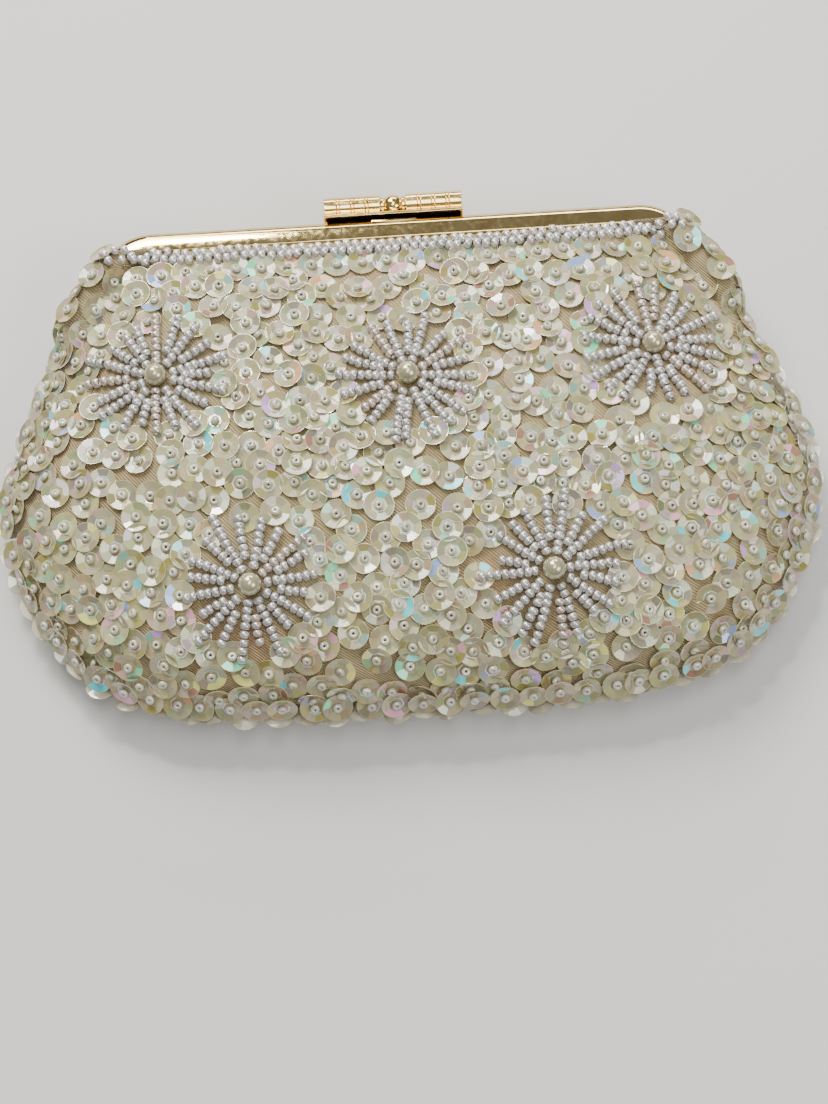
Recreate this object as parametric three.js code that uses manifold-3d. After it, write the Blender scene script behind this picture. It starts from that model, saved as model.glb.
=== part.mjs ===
// Beaded evening bag: two padded beadwork panels on a hinged metal frame, with a lift-up bar clasp.
// It lies on its back panel. Millimetres: +X runs along the frame, +Y from the bottom seam to the
// clasp, +Z out of the front panel. The origin is under the middle of the bag, on the rest plane.

import * as THREE from 'three';
import { mergeVertices } from 'three/addons/utils/BufferGeometryUtils.js';
import Module from 'manifold-3d';

const wasm = await Module();
wasm.setup();

// ---- driving dimensions -------------------------------------------------------------------

const GAP = 0.3; // clearance between neighbouring pieces
const SEAM_Z = 11; // height of the seam and of the frame's parting plane
const FRONT_RISE = 16; // front panel above the seam
const FRONT_MOUTH_RISE = 7.7; // crown of the front panel where it meets the frame
const BACK_MOUTH_DEPTH = 6.2; // the same below the seam, on the back
const BACK_FLAT_END = 8; // y where the back panel leaves the rest plane
const MOUTH_Y = 43; // lower edge of the frame's top bar
const CENTRE = new THREE.Vector2(0, -6); // fullest point of the pillow shape

// right half of the seam line, from the bottom centre up to behind the frame
const OUTLINE = [
  [0, -53.6], [36, -52.6], [57, -48.2], [68, -40], [76, -28], [80, -14.7], [80, -5.7],
  [77, 4.3], [73, 14.3], [69, 24.3], [62, 35.3], [55.5, 44], [45, 50], [22, 52], [0, 52],
];
const AROUND = 36; // facets round the seam
const RINGS = 7; // rings of facets from the middle to the seam
const SHORT_EDGE = 0.03; // longest edge that is closed up after a cut

const PANEL = [0, 2]; // depth of each layer below the outer surface: beadwork panel
const INTERLINING = [2.3, 2.9];
const LINING = [3.2, 3.8];

const FRAME_HEIGHT = 4.8; // section of one half of the frame, across its length
const FRAME_DEPTH = 4.45; // and front to back
const FRAME_WALL = 0.7;
const FRAME_ROUND = 1.4; // outer edge radius
const FRAME_TOP_Y = MOUTH_Y + FRAME_HEIGHT;
const FRAME_LINE_Y = MOUTH_Y + FRAME_HEIGHT / 2; // centre line of the top bar
const FRAME_CORNER = 9; // corner radius on the centre line
const LEG_SPLAY = THREE.MathUtils.degToRad(32);
const HINGE = new THREE.Vector3(66, 28, SEAM_Z); // where the right leg's line meets the hinge axis
const LEG_START = 4.4; // from the hinge axis to the end of the channel, along the leg

const EAR_RADIUS = 3.2;
const EAR_THICKNESS = 1;
const FRONT_EAR_X = 63.7; // middle of each ear
const REAR_EAR_X = FRONT_EAR_X + EAR_THICKNESS + GAP;
const RIVET_RADIUS = 0.9;
const RIVET_HEAD = { radius: 1.8, thickness: 0.6 };

const HUB_RADIUS = 9; // front panel's shoulder, concentric with the hinge
const COLLAR_EDGE = THREE.MathUtils.degToRad(45); // lower edge of the collar, seen from the hinge
const PANEL_EDGE = THREE.MathUtils.degToRad(100); // upper edge of the full panel
const SHOULDER_X = 57; // half width of the front panel's rounded upper end
const SHOULDER_LAP = 0.05; // angle by which the shoulder runs down inside the panel
const NECK_X = 61; // half width of the soft parts beside the hinge rivets
const NOTCH_Y = 24.3; // lower edge of the cut-out for the hinge
const TONGUE_X = 38; // half width of the interlining's tongue in the frame's channel

const CLASP_WIDTH = 28.6;
const BAR = { y: 51.3, z: SEAM_Z + 2, radius: 2.3 };
const BALL_RADIUS = 2.05;
const BALL_GAP = 0.8; // between the ball and each barrel
const ROD_RADIUS = 0.8;
const BORE_RADIUS = ROD_RADIUS + GAP;
const LEVER = { low: FRAME_TOP_Y + GAP, thickness: 0.6 };
const CLASP_AXIS = { y: 48.5, z: SEAM_Z - 5.9 };
const KNUCKLE = { radius: 1.6, bore: 0.9, pin: 0.6, width: 8 };

const PEARL_RADIUS = 2.25;
const PEARL_LIFT = 0.9; // pearl's centre above the panel's outer surface
const FLOWERS = {
  upper_left: [-48.6, 13.1],
  upper_centre: [0.9, 9.4],
  upper_right: [49.4, 13.7],
  lower_left: [-31.4, -30.8],
  lower_right: [26.3, -31.3],
};

// ---- materials ----------------------------------------------------------------------------

const FINISH = {
  beadwork: { color: 0xe3dac4, roughness: 0.45, metalness: 0 },
  buckram: { color: 0xcfc3a8, roughness: 0.95, metalness: 0 },
  satin: { color: 0xe9dcc3, roughness: 0.5, metalness: 0 },
  paper: { color: 0xc9a678, roughness: 0.95, metalness: 0 },
  gold: { color: 0xd9b45a, roughness: 0.18, metalness: 1 },
  pearl: { color: 0xe4dcc8, roughness: 0.2, metalness: 0 },
};

const bag = new THREE.Group();

function add(name, finish, geometry) {
  const mesh = new THREE.Mesh(geometry, new THREE.MeshStandardMaterial(FINISH[finish]));
  mesh.name = name;
  bag.add(mesh);
  return mesh;
}

// ---- solids -------------------------------------------------------------------------------

function welded(geometry) {
  const plain = geometry.clone();
  plain.deleteAttribute('normal');
  plain.deleteAttribute('uv');
  return mergeVertices(plain, 1e-5);
}

function solid(geometry) {
  const mesh = welded(geometry);
  return new wasm.Manifold(new wasm.Mesh({
    numProp: 3,
    vertProperties: new Float32Array(mesh.attributes.position.array),
    triVerts: new Uint32Array(mesh.index.array),
  }));
}

// the cuts leave a few edges of hundredths of a millimetre, which are closed up first
function surfaceOf(body) {
  const mesh = body.simplify(SHORT_EDGE).getMesh();
  const geometry = new THREE.BufferGeometry();
  geometry.setAttribute('position', new THREE.BufferAttribute(mesh.vertProperties.slice(), 3));
  geometry.setIndex(new THREE.BufferAttribute(mesh.triVerts.slice(), 1));
  return geometry;
}

function fromTriangles(points, faces) {
  const geometry = new THREE.BufferGeometry();
  geometry.setAttribute('position', new THREE.Float32BufferAttribute(points.flatMap((p) => p.toArray()), 3));
  geometry.setIndex(faces.flat());
  return geometry;
}

function box(low, high) {
  const size = high.map((value, axis) => value - low[axis]);
  const middle = high.map((value, axis) => (value + low[axis]) / 2);
  return new THREE.BoxGeometry(...size).translate(...middle);
}

// round bar along X from x0 to x1
function barX(radius, x0, x1, y, z, sides = 24) {
  const bar = new THREE.CylinderGeometry(radius, radius, x1 - x0, sides);
  return bar.rotateZ(-Math.PI / 2).translate((x0 + x1) / 2, y, z);
}

// outline in the (y, z) plane, extruded from x0 to x1
function slabX(points, x0, x1) {
  const shape = new THREE.Shape(points.map(([y, z]) => new THREE.Vector2(y, z)));
  const slab = new THREE.ExtrudeGeometry(shape, { depth: x1 - x0, bevelEnabled: false });
  const turn = new THREE.Matrix4().makeBasis(
    new THREE.Vector3(0, 1, 0), new THREE.Vector3(0, 0, 1), new THREE.Vector3(1, 0, 0));
  return slab.applyMatrix4(turn).translate(x0, 0, 0);
}

// closed solid through a row of section rings, with the section's own triangulation as end caps
function sweep(rings, section) {
  const count = section.length;
  const caps = THREE.ShapeUtils.triangulateShape(section, []);
  const last = (rings.length - 1) * count;
  const faces = [];
  for (let ring = 0; ring < rings.length - 1; ring += 1) {
    for (let side = 0; side < count; side += 1) {
      const a = ring * count + side;
      const b = ring * count + (side + 1) % count;
      faces.push([a, b + count, b], [a, a + count, b + count]);
    }
  }
  for (const [a, b, c] of caps) {
    faces.push([a, b, c], [last + a, last + c, last + b]);
  }
  return fromTriangles(rings.flat(), faces);
}

// ---- the pillow shape of the soft parts -----------------------------------------------------

function seamPoints() {
  const right = OUTLINE.slice(1, -1);
  const left = right.map(([x, y]) => [-x, y]).reverse();
  const loop = [OUTLINE[0], ...right, OUTLINE.at(-1), ...left];
  const curve = new THREE.CatmullRomCurve3(loop.map(([x, y]) => new THREE.Vector3(x, y, 0)), true);
  return Array.from({ length: AROUND }, (_, i) => curve.getPointAt(i / AROUND));
}

const SEAM = seamPoints();

// rise of the front's outer surface, less the layer's depth; reach is 0 in the middle, 1 at the seam
function frontHeight(y, reach, depth) {
  const up = Math.max(0, (y - CENTRE.y) / (MOUTH_Y - CENTRE.y));
  const crown = FRONT_RISE - (FRONT_RISE - FRONT_MOUTH_RISE) * up ** 1.35;
  return (crown - depth) * Math.sqrt(1 - reach ** 3.2);
}

// the same for the back, which is pressed flat on the rest plane
function backHeight(y, reach, depth) {
  const up = Math.max(0, (y - BACK_FLAT_END) / (MOUTH_Y - BACK_FLAT_END));
  const crown = SEAM_Z - (SEAM_Z - BACK_MOUTH_DEPTH) * up ** 1.5;
  return -(crown - depth) * Math.min(1, 1.25 * Math.sqrt(1 - reach ** 3.2));
}

// points of one surface: the middle point first, then ring by ring out to the seam
function pillowPoints(height, depth, seamGap) {
  const start = Math.sign(height(0, 0, depth)) * seamGap;
  const shrink = 1 - seamGap / Math.abs(height(CENTRE.y, 0, 0));
  const points = [];
  for (let ring = 0; ring <= RINGS; ring += 1) {
    const reach = Math.sin((Math.PI / 2) * (ring / RINGS));
    for (const edge of ring === 0 ? SEAM.slice(0, 1) : SEAM) {
      const arm = new THREE.Vector2(edge.x, edge.y).sub(CENTRE);
      const outer = arm.clone().multiplyScalar(reach).add(CENTRE);
      const point = arm.setLength(arm.length() - depth).multiplyScalar(reach).add(CENTRE);
      const z = SEAM_Z + start + height(outer.y, reach, depth) * shrink;
      points.push(new THREE.Vector3(point.x, point.y, z));
    }
  }
  return points;
}

function pillowFaces(offset, flip) {
  const faces = [];
  const at = (ring, i) => offset + 1 + (ring - 1) * AROUND + (i % AROUND);
  for (let i = 0; i < AROUND; i += 1) {
    faces.push([offset, at(1, i), at(1, i + 1)]);
    for (let ring = 1; ring < RINGS; ring += 1) {
      faces.push([at(ring, i), at(ring + 1, i), at(ring + 1, i + 1)]);
      faces.push([at(ring, i), at(ring + 1, i + 1), at(ring, i + 1)]);
    }
  }
  return flip ? faces.map(([a, b, c]) => [a, c, b]) : faces;
}

// shell between two depths of the pillow, open at the seam plane
function shell(height, [outer, inner]) {
  const above = height(0, 0, 0) > 0;
  const skin = pillowPoints(height, outer, GAP / 2);
  const inside = pillowPoints(height, inner, GAP / 2);
  const faces = [...pillowFaces(0, !above), ...pillowFaces(skin.length, above)];
  const rim = skin.length - AROUND;
  for (let i = 0; i < AROUND; i += 1) {
    const a = rim + i;
    const b = rim + (i + 1) % AROUND;
    const quad = [[a, b + skin.length, b], [a, a + skin.length, b + skin.length]];
    faces.push(...(above ? quad : quad.map(([p, q, r]) => [p, r, q])));
  }
  return solid(fromTriangles([...skin, ...inside], faces));
}

// everything under the outer surface, down to the seam plane
function filled(height) {
  const skin = pillowPoints(height, 0, GAP / 2);
  const faces = pillowFaces(0, false);
  const rim = skin.length - AROUND;
  for (let i = 1; i < AROUND - 1; i += 1) {
    faces.push([rim, rim + i + 1, rim + i]);
  }
  return solid(fromTriangles(skin, faces));
}

// ---- where the soft parts are cut -----------------------------------------------------------

// centre line of the right leg and centre of its corner, in the plan
const LEG_OUT = new THREE.Vector2(Math.cos(LEG_SPLAY), Math.sin(LEG_SPLAY));
const LEG_UP = new THREE.Vector2(-Math.sin(LEG_SPLAY), Math.cos(LEG_SPLAY));
const CORNER_Y = FRAME_LINE_Y - FRAME_CORNER;
const LEG_LENGTH = (CORNER_Y - HINGE.y + FRAME_CORNER * LEG_OUT.y) / LEG_UP.y;
const CORNER = new THREE.Vector2(HINGE.x, HINGE.y)
  .addScaledVector(LEG_UP, LEG_LENGTH)
  .addScaledVector(LEG_OUT, -FRAME_CORNER);

// plan of the soft parts: free below the hinge, inside the frame's legs and top bar above it
function footprint(tongue) {
  const far = 90;
  const inset = FRAME_HEIGHT / 2 + GAP;
  const radius = FRAME_CORNER - inset;
  const neck = new THREE.Vector2(HINGE.x, HINGE.y).addScaledVector(LEG_OUT, -inset);
  neck.addScaledVector(LEG_UP, (neck.x - NECK_X) / -LEG_UP.x);
  const plan = new THREE.Shape();
  plan.moveTo(-far, -far);
  plan.lineTo(far, -far);
  plan.lineTo(far, NOTCH_Y);
  plan.lineTo(NECK_X, NOTCH_Y);
  plan.lineTo(NECK_X, neck.y);
  plan.absarc(CORNER.x, CORNER.y, radius, LEG_SPLAY, Math.PI / 2, false);
  plan.absarc(-CORNER.x, CORNER.y, radius, Math.PI / 2, Math.PI - LEG_SPLAY, false);
  plan.lineTo(-NECK_X, neck.y);
  plan.lineTo(-NECK_X, NOTCH_Y);
  plan.lineTo(-far, NOTCH_Y);
  const block = new THREE.ExtrudeGeometry(plan, { depth: far, bevelEnabled: false, curveSegments: 5 });
  const area = solid(block.translate(0, 0, -far / 2));
  if (!tongue) {
    return area;
  }
  const low = [-TONGUE_X, MOUTH_Y - 3, -far / 2];
  const high = [TONGUE_X, FRAME_LINE_Y - GAP, far / 2];
  return area.add(solid(box(low, high)));
}

// half space of larger angles beyond a plane through the hinge axis
function beyond(angle) {
  const size = 300;
  const block = box([-size, -size, 0], [size, size, size]);
  return solid(block.rotateX(angle).translate(0, HINGE.y, HINGE.z));
}

function hub(radius) {
  return solid(barX(radius, -HINGE.x * 2, HINGE.x * 2, HINGE.y, HINGE.z, 48));
}

// ---- soft parts -----------------------------------------------------------------------------

const PLAIN = footprint(false);
const TONGUED = footprint(true);

// front panel with its upper end rounded about the hinge axis, so that the collar can turn over it
function shoulderedPanel() {
  const ring = hub(HUB_RADIUS).subtract(hub(HUB_RADIUS - PANEL[1]));
  const arc = ring.intersect(beyond(COLLAR_EDGE)).subtract(beyond(PANEL_EDGE + SHOULDER_LAP));
  const upper = arc.intersect(filled(frontHeight)).intersect(solid(box([-SHOULDER_X, 0, 0], [SHOULDER_X, 99, 99])));
  return shell(frontHeight, PANEL).intersect(PLAIN).intersect(beyond(PANEL_EDGE)).add(upper);
}

function flowerSpot([x, y]) {
  const radial = new THREE.Vector2(x, y).sub(CENTRE);
  const heading = Math.atan2(radial.y, radial.x);
  const seam = SEAM.map((p) => new THREE.Vector2(p.x, p.y).sub(CENTRE));
  const turn = (arm) => Math.abs(Math.atan2(Math.sin(Math.atan2(arm.y, arm.x) - heading),
    Math.cos(Math.atan2(arm.y, arm.x) - heading)));
  const nearest = seam.sort((a, b) => turn(a) - turn(b)).slice(0, 2);
  const reach = radial.length() / ((nearest[0].length() + nearest[1].length()) / 2);
  return new THREE.Vector3(x, y, SEAM_Z + frontHeight(y, reach, 0) + PEARL_LIFT);
}

function pearl(radius) {
  return new THREE.SphereGeometry(radius, 12, 8);
}

function frontPanel() {
  let panel = shoulderedPanel();
  for (const spot of Object.values(FLOWERS)) {
    const seat = pearl(PEARL_RADIUS + GAP).translate(...flowerSpot(spot).toArray());
    panel = panel.subtract(solid(seat));
  }
  return panel;
}

function collarPart(layer, plan) {
  return shell(frontHeight, layer)
    .intersect(plan)
    .subtract(beyond(COLLAR_EDGE))
    .subtract(hub(HUB_RADIUS + GAP));
}

function softParts() {
  add('front_panel', 'beadwork', surfaceOf(frontPanel()));
  add('front_collar', 'beadwork', surfaceOf(collarPart(PANEL, PLAIN)));
  add('back_panel', 'beadwork', surfaceOf(shell(backHeight, PANEL).intersect(PLAIN)));
  const low = PLAIN.intersect(beyond(PANEL_EDGE + 2 * SHOULDER_LAP));
  add('front_interlining', 'buckram', surfaceOf(shell(frontHeight, INTERLINING).intersect(low)));
  add('collar_interlining', 'buckram', surfaceOf(collarPart(INTERLINING, TONGUED)));
  add('back_interlining', 'buckram', surfaceOf(shell(backHeight, INTERLINING).intersect(TONGUED)));
  add('front_lining', 'satin', surfaceOf(shell(frontHeight, LINING).intersect(low)));
  add('collar_lining', 'satin', surfaceOf(collarPart(LINING, PLAIN)));
  add('back_lining', 'satin', surfaceOf(shell(backHeight, LINING).intersect(PLAIN)));
}

function innerPocket() {
  const width = 64;
  const [bottom, top] = [-28, 6];
  const round = 4;
  const patch = new THREE.Shape();
  patch.moveTo(-width / 2, top);
  patch.lineTo(-width / 2, bottom + round);
  patch.absarc(-width / 2 + round, bottom + round, round, Math.PI, Math.PI * 1.5, false);
  patch.absarc(width / 2 - round, bottom + round, round, Math.PI * 1.5, Math.PI * 2, false);
  patch.lineTo(width / 2, top);
  const cloth = new THREE.ExtrudeGeometry(patch, { depth: 0.6, bevelEnabled: false, curveSegments: 4 });
  const pocket = add('inner_pocket', 'satin', cloth);
  pocket.position.z = LINING[1] + GAP;
}

function flowerPearls() {
  for (const [place, spot] of Object.entries(FLOWERS)) {
    const bead = add(`flower_pearl_${place}`, 'pearl', pearl(PEARL_RADIUS));
    bead.position.copy(flowerSpot(spot));
  }
}

// ---- frame ----------------------------------------------------------------------------------

// channel section of the front half: x outwards across the frame, y forwards from the parting plane
function channelSection() {
  const half = FRAME_HEIGHT / 2;
  const low = GAP / 2;
  const high = low + FRAME_DEPTH;
  const section = new THREE.Shape();
  section.moveTo(-half, low);
  section.lineTo(half - 0.5, low);
  section.lineTo(half, low + 0.5);
  section.absarc(half - FRAME_ROUND, high - FRAME_ROUND, FRAME_ROUND, 0, Math.PI / 2, false);
  section.lineTo(-half + 0.6, high);
  section.lineTo(-half, high - 0.5);
  section.lineTo(-half, high - FRAME_WALL - 0.15);
  section.lineTo(half - FRAME_WALL - 0.5, high - FRAME_WALL);
  section.lineTo(half - FRAME_WALL, high - FRAME_WALL - 0.5);
  section.lineTo(half - FRAME_WALL, low + FRAME_WALL);
  section.lineTo(-half, low + FRAME_WALL);
  return section.getPoints(4).slice(0, -1);
}

// stations along the U-shaped centre line: a point in the plan and the outward direction there
function frameStations(start) {
  const right = [start, LEG_LENGTH].map((along) => ({
    point: new THREE.Vector2(HINGE.x, HINGE.y).addScaledVector(LEG_UP, along),
    out: LEG_OUT,
  }));
  const steps = 6;
  for (let step = 1; step <= steps; step += 1) {
    const angle = THREE.MathUtils.lerp(LEG_SPLAY, Math.PI / 2, step / steps);
    const out = new THREE.Vector2(Math.cos(angle), Math.sin(angle));
    right.push({ point: CORNER.clone().addScaledVector(out, FRAME_CORNER), out });
  }
  const mirror = new THREE.Vector2(-1, 1);
  const left = right.map(({ point, out }) => ({
    point: point.clone().multiply(mirror),
    out: out.clone().multiply(mirror),
  }));
  return [...right, ...left.reverse()];
}

// side is 1 for the front half of the frame and -1 for the rear half
function alongFrame(section, side, start) {
  const outline = side > 0 ? section : [...section].reverse();
  const rings = frameStations(start).map(({ point, out }) => outline.map((corner) => {
    const plan = point.clone().addScaledVector(out, corner.x);
    return new THREE.Vector3(plan.x, plan.y, SEAM_Z + side * corner.y);
  }));
  const flat = outline.map((corner) => new THREE.Vector2(corner.x, side * corner.y));
  return sweep(rings, flat);
}

function ear(centre, side) {
  const [x0, x1] = [centre - EAR_THICKNESS / 2, centre + EAR_THICKNESS / 2];
  const disc = solid(barX(EAR_RADIUS, x0, x1, HINGE.y, HINGE.z, 32));
  const reach = [HINGE.z + side * GAP / 2, HINGE.z + side * EAR_RADIUS];
  const strap = box([x0, HINGE.y, Math.min(...reach)], [x1, HINGE.y + LEG_START + 1.4, Math.max(...reach)]);
  const hole = solid(barX(RIVET_RADIUS + GAP, x0 - 1, x1 + 1, HINGE.y, HINGE.z, 24));
  return disc.add(solid(strap)).subtract(hole);
}

function frameHalf(side, earX) {
  const channel = solid(alongFrame(channelSection(), side, LEG_START));
  return channel.add(ear(earX, side)).add(ear(-earX, side));
}

function channelCord(side) {
  const cord = [[0.1, 1.4], [0.5, 1.2], [1.0, 1.4], [1.2, 2.2], [1.0, 3.0], [0.5, 3.2], [0.1, 3.0]];
  const section = cord.map(([x, y]) => new THREE.Vector2(x, y));
  return alongFrame(section, side, LEG_START + 3);
}

function hingeRivet(side) {
  const inner = FRONT_EAR_X - EAR_THICKNESS / 2 - GAP;
  const outer = REAR_EAR_X + EAR_THICKNESS / 2 + GAP;
  const { radius, thickness } = RIVET_HEAD;
  const profile = [
    [0, inner - thickness], [radius - 0.4, inner - thickness], [radius, inner - thickness / 2],
    [radius, inner], [RIVET_RADIUS, inner], [RIVET_RADIUS, outer], [radius, outer],
    [radius, outer + thickness / 2], [radius - 0.4, outer + thickness], [0, outer + thickness],
  ];
  const rivet = new THREE.LatheGeometry(profile.map(([r, x]) => new THREE.Vector2(r, x)), 20);
  return rivet.rotateZ(-side * Math.PI / 2).translate(0, HINGE.y, HINGE.z);
}

function frameParts() {
  add('front_frame', 'gold', surfaceOf(frameHalf(1, FRONT_EAR_X)));
  add('rear_frame', 'gold', surfaceOf(frameHalf(-1, REAR_EAR_X)));
  add('front_channel_cord', 'paper', channelCord(1));
  add('rear_channel_cord', 'paper', channelCord(-1));
  add('hinge_rivet_right', 'gold', hingeRivet(1));
  add('hinge_rivet_left', 'gold', hingeRivet(-1));
}

// ---- clasp ----------------------------------------------------------------------------------

function knuckle(x0, x1) {
  return solid(barX(KNUCKLE.radius, x0, x1, CLASP_AXIS.y, CLASP_AXIS.z));
}

function pinHole() {
  return solid(barX(KNUCKLE.bore, -CLASP_WIDTH, CLASP_WIDTH, CLASP_AXIS.y, CLASP_AXIS.z));
}

// plate over the closed frame, ending in a lip just above the catch
function claspLever() {
  const { low, thickness } = LEVER;
  const front = SEAM_Z + FRAME_DEPTH + 0.7;
  const profile = [
    [low, CLASP_AXIS.z + 0.6], [low, front - 0.3], [low - 0.25, front + 0.3], [low - 0.15, front + 0.85],
    [low + thickness - 0.1, front + 0.85], [low + thickness, front], [low + thickness, CLASP_AXIS.z + 0.6],
  ];
  const plate = solid(slabX(profile, -CLASP_WIDTH / 2, CLASP_WIDTH / 2));
  const half = KNUCKLE.width / 2;
  return plate
    .subtract(solid(box([-99, 0, 0], [-half, 99, SEAM_Z - 3.9])))
    .subtract(solid(box([half, 0, 0], [99, 99, SEAM_Z - 3.9])))
    .add(knuckle(-half, half))
    .subtract(pinHole());
}

// leaf on the rear frame's back face, with a knuckle at each side of the lever's
function claspBracket() {
  const inner = KNUCKLE.width / 2 + GAP;
  const outer = inner + 4;
  const face = SEAM_Z - GAP / 2 - FRAME_DEPTH - GAP;
  const leaf = solid(box([-outer, MOUTH_Y + 0.6, face - 0.7], [outer, FRAME_TOP_Y - 1.6, face]));
  let bracket = leaf;
  for (const side of [-1, 1]) {
    const [x0, x1] = side > 0 ? [inner, outer] : [-outer, -inner];
    const tab = solid(box([x0, MOUTH_Y + 2, face - 0.7], [x1, CLASP_AXIS.y - 0.3, face]));
    bracket = bracket.add(tab.subtract(pinHole())).add(knuckle(x0, x1).subtract(pinHole()));
  }
  return bracket;
}

// ribbed tube on the rod, from x0 outwards
function claspBarrel() {
  const x0 = BALL_RADIUS + BALL_GAP;
  const length = CLASP_WIDTH / 2 - x0;
  const rings = 4;
  const groove = 0.3;
  const rim = [new THREE.Vector2(BORE_RADIUS, 0), new THREE.Vector2(BAR.radius - groove, 0)];
  for (let ring = 0; ring < rings; ring += 1) {
    const start = (length * ring) / rings;
    const end = (length * (ring + 1)) / rings;
    rim.push(new THREE.Vector2(BAR.radius, start + groove), new THREE.Vector2(BAR.radius, end - groove));
    rim.push(new THREE.Vector2(BAR.radius - groove, end));
  }
  rim.push(new THREE.Vector2(BORE_RADIUS, length), new THREE.Vector2(BORE_RADIUS, 0));
  return new THREE.LatheGeometry(rim, 20).translate(0, x0, 0);
}

function claspBall() {
  const open = Math.asin(BORE_RADIUS / BALL_RADIUS);
  const steps = 8;
  const rim = Array.from({ length: steps + 1 }, (_, i) => {
    const angle = THREE.MathUtils.lerp(Math.PI - open, open, i / steps);
    return new THREE.Vector2(BALL_RADIUS * Math.sin(angle), BALL_RADIUS * Math.cos(angle));
  });
  return new THREE.LatheGeometry([...rim, rim[0].clone()], 20);
}

function claspParts() {
  add('clasp_lever', 'gold', surfaceOf(claspLever()));
  add('clasp_bracket', 'gold', surfaceOf(claspBracket()));
  const pinHalf = KNUCKLE.width / 2 + GAP + 4;
  add('clasp_pin', 'gold', barX(KNUCKLE.pin, -pinHalf, pinHalf, CLASP_AXIS.y, CLASP_AXIS.z, 16));
  const catchFace = SEAM_Z + GAP / 2 + FRAME_DEPTH + GAP;
  const ridge = [[45.9, catchFace], [47, catchFace], [47, catchFace + 0.35], [46.7, catchFace + 0.6],
    [46.2, catchFace + 0.6], [45.9, catchFace + 0.35]];
  add('clasp_catch', 'gold', slabX(ridge, -5, 5));
  add('clasp_rod', 'gold', barX(ROD_RADIUS, -CLASP_WIDTH / 2 + 0.3, CLASP_WIDTH / 2 - 0.3, BAR.y, BAR.z, 16));
  for (const [side, turn] of [['right', -Math.PI / 2], ['left', Math.PI / 2]]) {
    const barrel = add(`clasp_barrel_${side}`, 'gold', claspBarrel());
    barrel.rotation.z = turn;
    barrel.position.set(0, BAR.y, BAR.z);
  }
  const ball = add('clasp_ball', 'gold', claspBall());
  ball.rotation.z = -Math.PI / 2;
  ball.position.set(0, BAR.y, BAR.z);
}

frameParts();
claspParts();
softParts();
innerPocket();
flowerPearls();

export default bag;
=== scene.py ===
"""Beaded evening bag: the looks of every piece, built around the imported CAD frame.

Lengths below are in millimetres, in the CAD frame, and become metres where a mesh is made.
"""

import math

import bmesh
import bpy
import numpy as np
from mathutils import Matrix, Vector
from mathutils.bvhtree import BVHTree


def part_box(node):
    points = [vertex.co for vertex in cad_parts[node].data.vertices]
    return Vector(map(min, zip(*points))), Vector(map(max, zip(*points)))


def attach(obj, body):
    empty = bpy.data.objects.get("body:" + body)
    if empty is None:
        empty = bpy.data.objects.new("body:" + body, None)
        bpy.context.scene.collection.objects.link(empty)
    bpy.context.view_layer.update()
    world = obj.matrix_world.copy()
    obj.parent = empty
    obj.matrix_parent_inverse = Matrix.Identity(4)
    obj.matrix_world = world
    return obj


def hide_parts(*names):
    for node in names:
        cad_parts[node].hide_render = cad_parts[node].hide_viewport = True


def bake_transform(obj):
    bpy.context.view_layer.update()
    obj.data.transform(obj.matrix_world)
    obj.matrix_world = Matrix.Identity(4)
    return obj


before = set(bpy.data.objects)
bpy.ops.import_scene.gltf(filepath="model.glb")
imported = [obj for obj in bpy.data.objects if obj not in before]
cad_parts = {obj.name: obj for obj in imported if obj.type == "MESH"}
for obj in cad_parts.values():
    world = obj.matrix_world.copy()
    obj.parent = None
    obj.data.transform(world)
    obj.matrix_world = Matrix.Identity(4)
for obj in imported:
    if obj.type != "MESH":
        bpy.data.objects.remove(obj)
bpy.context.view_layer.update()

MM = 0.001
TAU = 2 * math.pi

# ---- sizes shared with the CAD model ----

SEAM_Z = 11.0
FRONT_RISE = 16.0
FRONT_MOUTH_RISE = 7.7
BACK_MOUTH_DEPTH = 6.2
BACK_FLAT_END = 8.0
MOUTH_Y = 43.0
CENTRE = np.array([0.0, -6.0])
OUTLINE = [
    (0, -53.6), (36, -52.6), (57, -48.2), (68, -40), (76, -28), (80, -14.7), (80, -5.7),
    (77, 4.3), (73, 14.3), (69, 24.3), (62, 35.3), (55.5, 44), (45, 50), (22, 52), (0, 52),
]
FRAME_HEIGHT = 4.8
FRAME_DEPTH = 4.45
FRAME_WALL = 0.7
FRAME_ROUND = 2.5
FRAME_GAP = 0.15
FRAME_LINE_Y = MOUTH_Y + FRAME_HEIGHT / 2
FRAME_CORNER = 9.0
SPLAY = math.radians(32)
HINGE = np.array([66.0, 28.0])
LEG_START = 4.4
FRONT_EAR_X = 63.7
REAR_EAR_X = 65.0
EAR_RADIUS = 3.2
BAR_Y = 51.3
BAR_Z = SEAM_Z + 2
BAR_RADIUS = 2.3
CLASP_HALF = 14.3
ROD_BORE = 0.84
FLOWERS = [(-48.6, 13.1), (0.9, 9.4), (49.4, 13.7), (-31.4, -30.8), (26.3, -31.3)]
PEARL_NODES = [
    "flower_pearl_upper_left", "flower_pearl_upper_centre", "flower_pearl_upper_right",
    "flower_pearl_lower_left", "flower_pearl_lower_right",
]

# ---- sizes of the looks ----

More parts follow.
